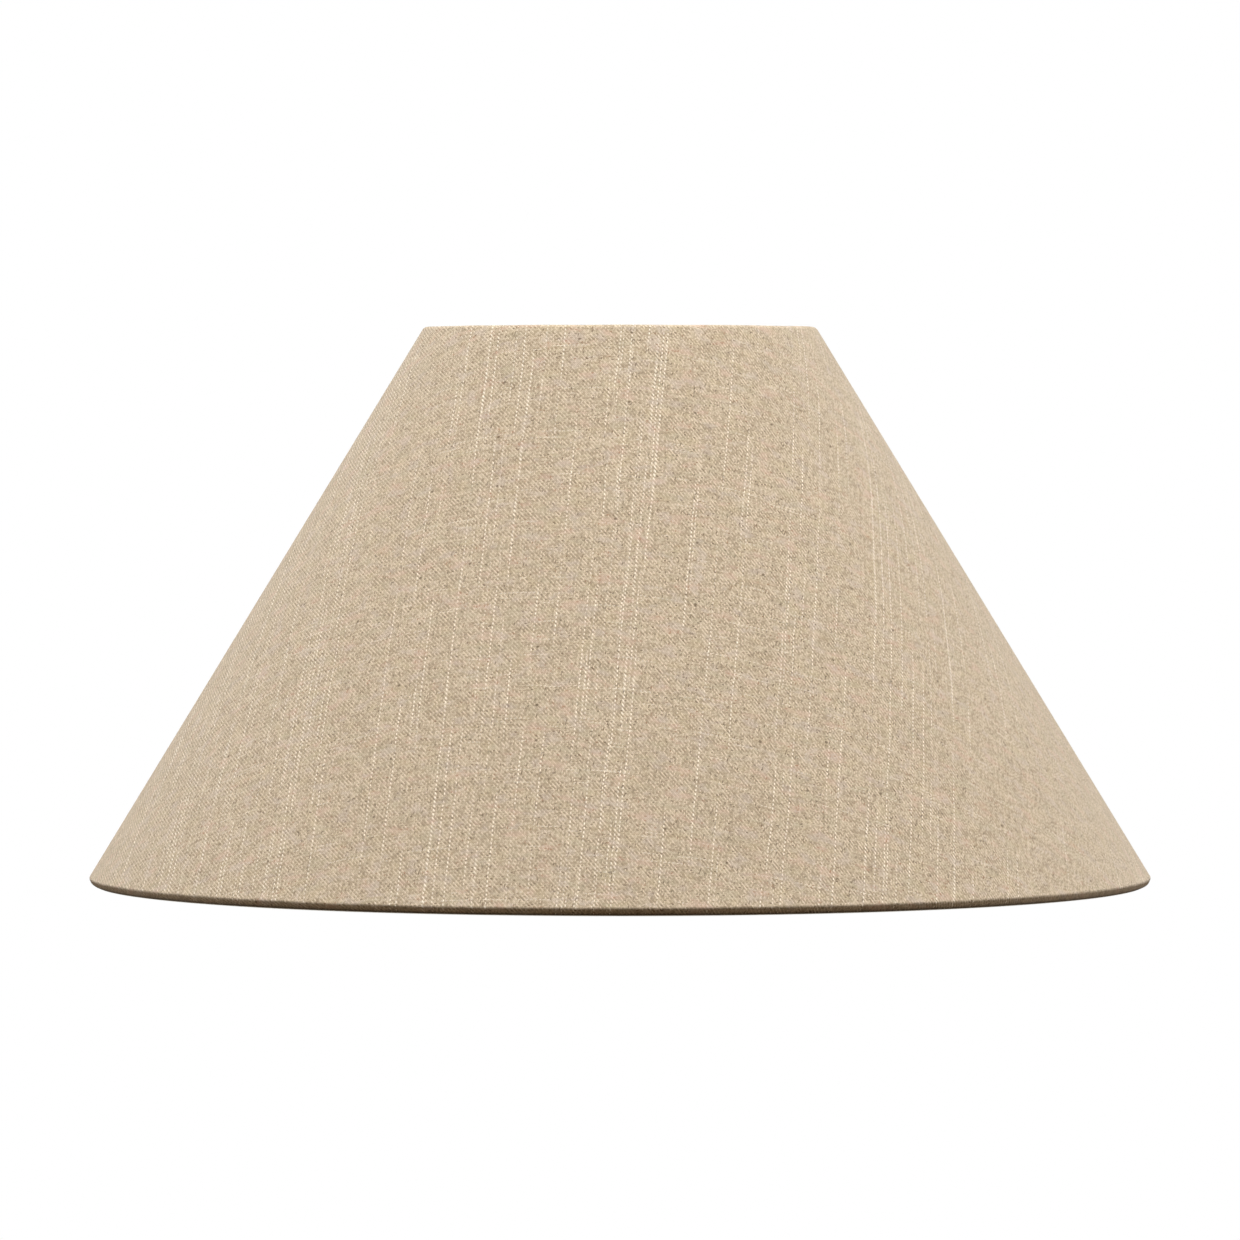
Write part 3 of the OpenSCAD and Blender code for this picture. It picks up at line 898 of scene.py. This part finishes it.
def makeArm(side, name):
    rivetLow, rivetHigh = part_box("pivot_rivet_" + name)
    armLow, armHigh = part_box("gimbal_arm_" + name)
    pivotZ = (rivetLow.z + rivetHigh.z)/2
    eyeX = max(abs(armLow.x), abs(armHigh.x)) - arm["wireR"]
    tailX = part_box("fitter_ring")[1].x + arm["wireR"] - arm["bite"]
    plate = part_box("fitter_ring")[1].z - fitter["thick"]
    corner = Vector((eyeX, 0, pivotZ - arm["shank"]))
    knee = Vector((tailX, 0, plate + arm["tailTop"]))
    foot = Vector((tailX, 0, armLow.z))
    slant = (knee - corner).normalized()
    bend = math.acos(-slant.z)
    setback = arm["bendR"]*math.tan(bend/2)
    deselectAll()
    bpy.ops.mesh.primitive_circle_add(vertices=24, radius=arm["wireR"], fill_type="NGON",
        location=(eyeX, 0, pivotZ - arm["start"]))
    wire = bpy.context.object
    wire.name = "wire_arm_" + name
    fixPlace(wire)
    bpy.ops.object.mode_set(mode="EDIT")
    bpy.ops.mesh.select_all(action="SELECT")

    def pull(move):
        bpy.ops.mesh.extrude_region_move(TRANSFORM_OT_translate={"value": move})

    first = corner - Vector((0, 0, -setback))
    for i in range(3):
        pull((0, 0, (first.z - (pivotZ - arm["start"]))/3))
    bpy.ops.mesh.spin(steps=arm["bendSteps"], angle=bend, center=(eyeX - arm["bendR"], 0, first.z),
        axis=(0, -1, 0))
    second = knee - slant*setback
    pull(second - (corner + slant*setback))
    bpy.ops.mesh.spin(steps=arm["bendSteps"], angle=-bend, center=(tailX + arm["bendR"], 0, knee.z - setback),
        axis=(0, -1, 0))
    pull(foot - (knee - Vector((0, 0, setback))))
    bpy.ops.object.mode_set(mode="OBJECT")
    for vertex in wire.data.vertices:
        flat = 1 - smoothStep(arm["flatFrom"], arm["flatTo"], pivotZ - vertex.co.z)
        if vertex.co.x > eyeX - 4*mm:
            vertex.co.x = eyeX + (vertex.co.x - eyeX)*(1 - arm["squash"]*flat)
            vertex.co.y *= 1 + arm["spread"]*flat
    eye = makeEye(eyeX, pivotZ)
    join = wire.modifiers.new("eye", "BOOLEAN")
    join.operation = "UNION"
    join.object = eye
    applyModifiers(wire)
    bpy.data.objects.remove(eye)
    if side < 0:
        wire.scale = (-1, 1, 1)
        fixPlace(wire)
    return finishPiece(wire, "gimbal", coating, "gimbal_arm_" + name, angle=40)


def makeEye(eyeX, pivotZ):
    deselectAll()
    bpy.ops.mesh.primitive_cylinder_add(vertices=64, radius=arm["eyeR"], depth=arm["eyeThick"],
        location=(eyeX, 0, pivotZ), rotation=(0, math.pi/2, 0))
    eye = bpy.context.object
    fixPlace(eye)
    selectParts(eye, "FACE", lambda place, normal: abs(normal.x) > 0.9)
    bpy.ops.mesh.inset(thickness=arm["eyeR"] - arm["holeR"], use_individual=True)
    bpy.ops.mesh.bridge_edge_loops()
    bpy.ops.object.mode_set(mode="OBJECT")
    soft = eye.modifiers.new("softEdges", "BEVEL")
    soft.width = arm["eyeEdge"]
    soft.segments = 3
    soft.limit_method = "ANGLE"
    soft.angle_limit = math.radians(50)
    applyModifiers(eye)
    return eye


# beads where the arms are welded to the pressed ring

bead = {
    "radius": 0.75*mm,
    "long": 2.4*mm,           # half length, up the ring's side
    "aside": 1.45*mm,         # from the wire's middle
    "rough": 0.12*mm,
    "roughPerMetre": 900,
}


def makeBeads(side, name):
    low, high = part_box("fitter_ring")
    middle = (low.z + high.z)/2 - 0.5*mm
    parts = []
    for y in (-bead["aside"], bead["aside"]):
        deselectAll()
        bpy.ops.mesh.primitive_uv_sphere_add(segments=20, ring_count=14, radius=bead["radius"],
            location=(side*(high.x + 0.15*mm), y, middle), scale=(1, 1, bead["long"]/bead["radius"]))
        fixPlace(bpy.context.object)
        parts.append(bpy.context.object)
    parts[0].select_set(True)
    bpy.ops.object.join()
    beads = bpy.context.object
    beads.name = "weld_" + name
    for vertex in beads.data.vertices:
        vertex.co += vertex.normal*bead["rough"]*noise.noise(vertex.co*bead["roughPerMetre"])
    return finishPiece(beads, "gimbal", coating, angle=60)


# the nylon washers between lugs and arms

washer = {"holeR": 1.6*mm, "edge": 0.15*mm}


def makeWasher(name):
    low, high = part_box("pivot_washer_" + name)
    outR = (high.z - low.z)/2
    deselectAll()
    bpy.ops.mesh.primitive_cylinder_add(vertices=64, radius=outR, depth=high.x - low.x,
        location=((low.x + high.x)/2, 0, (low.z + high.z)/2), rotation=(0, math.pi/2, 0))
    disc = bpy.context.object
    disc.name = "washer_" + name
    fixPlace(disc)
    selectParts(disc, "FACE", lambda place, normal: abs(normal.x) > 0.9)
    bpy.ops.mesh.inset(thickness=outR - washer["holeR"], use_individual=True)
    bpy.ops.mesh.bridge_edge_loops()
    bpy.ops.object.mode_set(mode="OBJECT")
    soft = disc.modifiers.new("softEdges", "BEVEL")
    soft.width = washer["edge"]
    soft.segments = 2
    soft.limit_method = "ANGLE"
    applyModifiers(disc)
    return finishPiece(disc, "shade", nylon, "pivot_washer_" + name)


# straps welded to the top wire, and the rivets through them

lug = {
    "edge": 0.3*mm,
    "weld": 0.8*mm,           # swelling where the strap meets the wire
    "weldFrom": 2.6*mm,       # below the wire's centre
    "weldTo": 1.2*mm,
    "weldPerMetre": 700,
}
rivet = {"shankR": 1.5*mm, "headHigh": 1.3*mm, "crown": 1.15*mm}


def makeLug(name):
    low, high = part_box("pivot_lug_" + name)
    half, deep = (high.y - low.y)/2, high.x - low.x
    middle = ((low.x + high.x)/2, 0, low.z + half)
    deselectAll()
    bpy.ops.mesh.primitive_cylinder_add(vertices=64, radius=half, depth=deep, location=middle,
        rotation=(0, math.pi/2, 0))
    strap = bpy.context.object
    strap.name = "lug_" + name
    fixPlace(strap)
    bpy.ops.object.mode_set(mode="EDIT")
    bpy.ops.mesh.select_all(action="SELECT")
    bpy.ops.mesh.bisect(plane_co=middle, plane_no=(0, 0, 1), clear_outer=True, use_fill=True)
    selectParts(strap, "FACE", lambda place, normal: normal.z > 0.9)
    bpy.ops.mesh.extrude_region_move(TRANSFORM_OT_translate={"value": (0, 0, high.z - middle[2])})
    bpy.ops.object.mode_set(mode="OBJECT")
    soft = strap.modifiers.new("softEdges", "BEVEL")
    soft.width = lug["edge"]
    soft.segments = 3
    soft.limit_method = "ANGLE"
    soft.angle_limit = math.radians(50)
    applyModifiers(strap)
    for vertex in strap.data.vertices:
        swell = smoothStep(shade["topZ"] - lug["weldFrom"], shade["topZ"] - lug["weldTo"], vertex.co.z)
        lumps = 0.3 + abs(noise.noise(vertex.co*lug["weldPerMetre"]))
        vertex.co.x += swell*lug["weld"]*lumps*math.copysign(0.5, vertex.normal.x)
    return finishPiece(strap, "shade", coating, "pivot_lug_" + name)


def makeRivet(side, name):
    low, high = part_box("pivot_rivet_" + name)
    headR, headHigh, long = (high.z - low.z)/2, rivet["headHigh"], high.x - low.x
    middle = Vector(((low.x + high.x)/2, 0, (low.z + high.z)/2))
    deselectAll()
    bpy.ops.mesh.primitive_cylinder_add(vertices=48, radius=headR, depth=headHigh,
        location=(high.x - headHigh/2, 0, middle.z), rotation=(0, math.pi/2, 0))
    pin = bpy.context.object
    pin.name = "rivet_" + name
    fixPlace(pin)
    selectParts(pin, "FACE", lambda place, normal: normal.x < -0.9)
    bpy.ops.mesh.inset(thickness=headR - rivet["shankR"])
    bpy.ops.mesh.extrude_region_move(TRANSFORM_OT_translate={"value": (2*headHigh - long, 0, 0)})
    bpy.ops.mesh.extrude_region_move()
    wider = headR/rivet["shankR"]
    bpy.ops.transform.resize(value=(1, wider, wider), center_override=middle)
    bpy.ops.mesh.extrude_region_move(TRANSFORM_OT_translate={"value": (-headHigh, 0, 0)})
    selectParts(pin, "EDGE", lambda place, way: abs(way.x) < 0.1
        and (near(place.x, high.x) or near(place.x, low.x)))
    bpy.ops.mesh.bevel(offset=rivet["crown"], segments=6)
    return finishPiece(pin, "shade", zinc, "pivot_rivet_" + name, angle=50)


def finishFrameNodes():
    # these keep the shape the frame gives them
    setMaterial(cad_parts["top_ring"], coating)
    setMaterial(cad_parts["bottom_ring"], coating)
    setMaterial(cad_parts["seam_tape"], tape)


makeFitterRing()
makeReducer()
for side, name in ((-1, "left"), (1, "right")):
    makeArm(side, name)
    makeBeads(side, name)
    makeWasher(name)
    makeLug(name)
    makeRivet(side, name)
finishFrameNodes()
print("fitter made")


# stage

stage = {
    "floorSize": 40.0,
    "floorLow": -0.25*mm,
    "floorSeen": 1.0,
    "innerPaper": (0.8, 0.79, 0.77, 1),     # the paper within the rim
    "innerGlow": 0.45,                      # and the light that it gives the lining
    "floorBounce": (0.09, 0.06, 0.03, 1),   # little light comes back up, so the rim's underside stays dark
    "skySeen": 1.0,
    "skyLight": 0.14,
    "lightsAim": (0, 0, 0.1),
    "lights": (               # name, place, side, power
        ("softboxLeft", (-1.9, -0.5, 0.9), 1.6, 10.5),
        ("softboxRight", (1.9, -0.5, 0.9), 1.6, 13.8),
        ("softboxTop", (0, -0.3, 3.8), 2.6, 277.0),
    ),
}


def makeFloor():
    deselectAll()
    bpy.ops.mesh.primitive_plane_add(size=stage["floorSize"])
    floor = bpy.context.object
    floor.name = "floor"
    for vertex in floor.data.vertices:
        vertex.co.z = stage["floorLow"]
    material, tree, shader = newMaterial("floorPaper")
    coords = tree.nodes.new("ShaderNodeTexCoord")
    out = tree.nodes.new("ShaderNodeVectorMath")
    out.operation = "LENGTH"
    tree.links.new(coords.outputs["Object"], out.inputs[0])
    outside = calc(tree, "GREATER_THAN", out.outputs["Value"], shade["bottomWireR"])
    colour = blendColour(tree, outside, stage["innerPaper"], stage["floorBounce"])
    tree.links.new(colour, shader.inputs["Base Color"])
    shader.inputs["Roughness"].default_value = 1.0
    shader.inputs["Specular IOR Level"].default_value = 0.0
    seen = tree.nodes.new("ShaderNodeEmission")
    seen.inputs["Strength"].default_value = stage["floorSeen"]
    path = tree.nodes.new("ShaderNodeLightPath")
    shader.inputs["Emission Color"].default_value = stage["innerPaper"]
    inside = calc(tree, "MULTIPLY", calc(tree, "SUBTRACT", 1.0, outside), stage["innerGlow"])
    hidden = calc(tree, "SUBTRACT", 1.0, path.outputs["Is Camera Ray"])
    tree.links.new(calc(tree, "MULTIPLY", inside, hidden), shader.inputs["Emission Strength"])
    facing = tree.nodes.new("ShaderNodeNewGeometry")
    clear = tree.nodes.new("ShaderNodeBsdfTransparent")
    above = tree.nodes.new("ShaderNodeMixShader")
    tree.links.new(calc(tree, "MULTIPLY", path.outputs["Is Camera Ray"], outside), above.inputs[0])
    tree.links.new(shader.outputs[0], above.inputs[1])
    tree.links.new(seen.outputs[0], above.inputs[2])
    mix = tree.nodes.new("ShaderNodeMixShader")
    tree.links.new(facing.outputs["Backfacing"], mix.inputs[0])
    tree.links.new(above.outputs[0], mix.inputs[1])
    tree.links.new(clear.outputs[0], mix.inputs[2])
    tree.links.new(mix.outputs[0], tree.nodes["Material Output"].inputs["Surface"])
    floor.data.materials.append(material)


def makeSky():
    world = bpy.data.worlds.new("softbox")
    scene.world = world
    world.use_nodes = True
    tree = world.node_tree
    background = tree.nodes["Background"]
    background.inputs["Color"].default_value = (1, 1, 1, 1)
    path = tree.nodes.new("ShaderNodeLightPath")
    strength = blendValue(tree, path.outputs["Is Camera Ray"], stage["skyLight"], stage["skySeen"])
    tree.links.new(strength, background.inputs["Strength"])


def makeLight(name, place, side, power):
    data = bpy.data.lights.new(name, "AREA")
    data.shape = "RECTANGLE"
    data.size = data.size_y = side
    data.energy = power
    obj = bpy.data.objects.new(name, data)
    scene.collection.objects.link(obj)
    obj.location = place
    aim = Vector(stage["lightsAim"]) - Vector(place)
    obj.rotation_euler = aim.to_track_quat("-Z", "Y").to_euler()


makeFloor()
makeSky()
for name, place, side, power in stage["lights"]:
    makeLight(name, place, side, power)
print("stage and lights made")
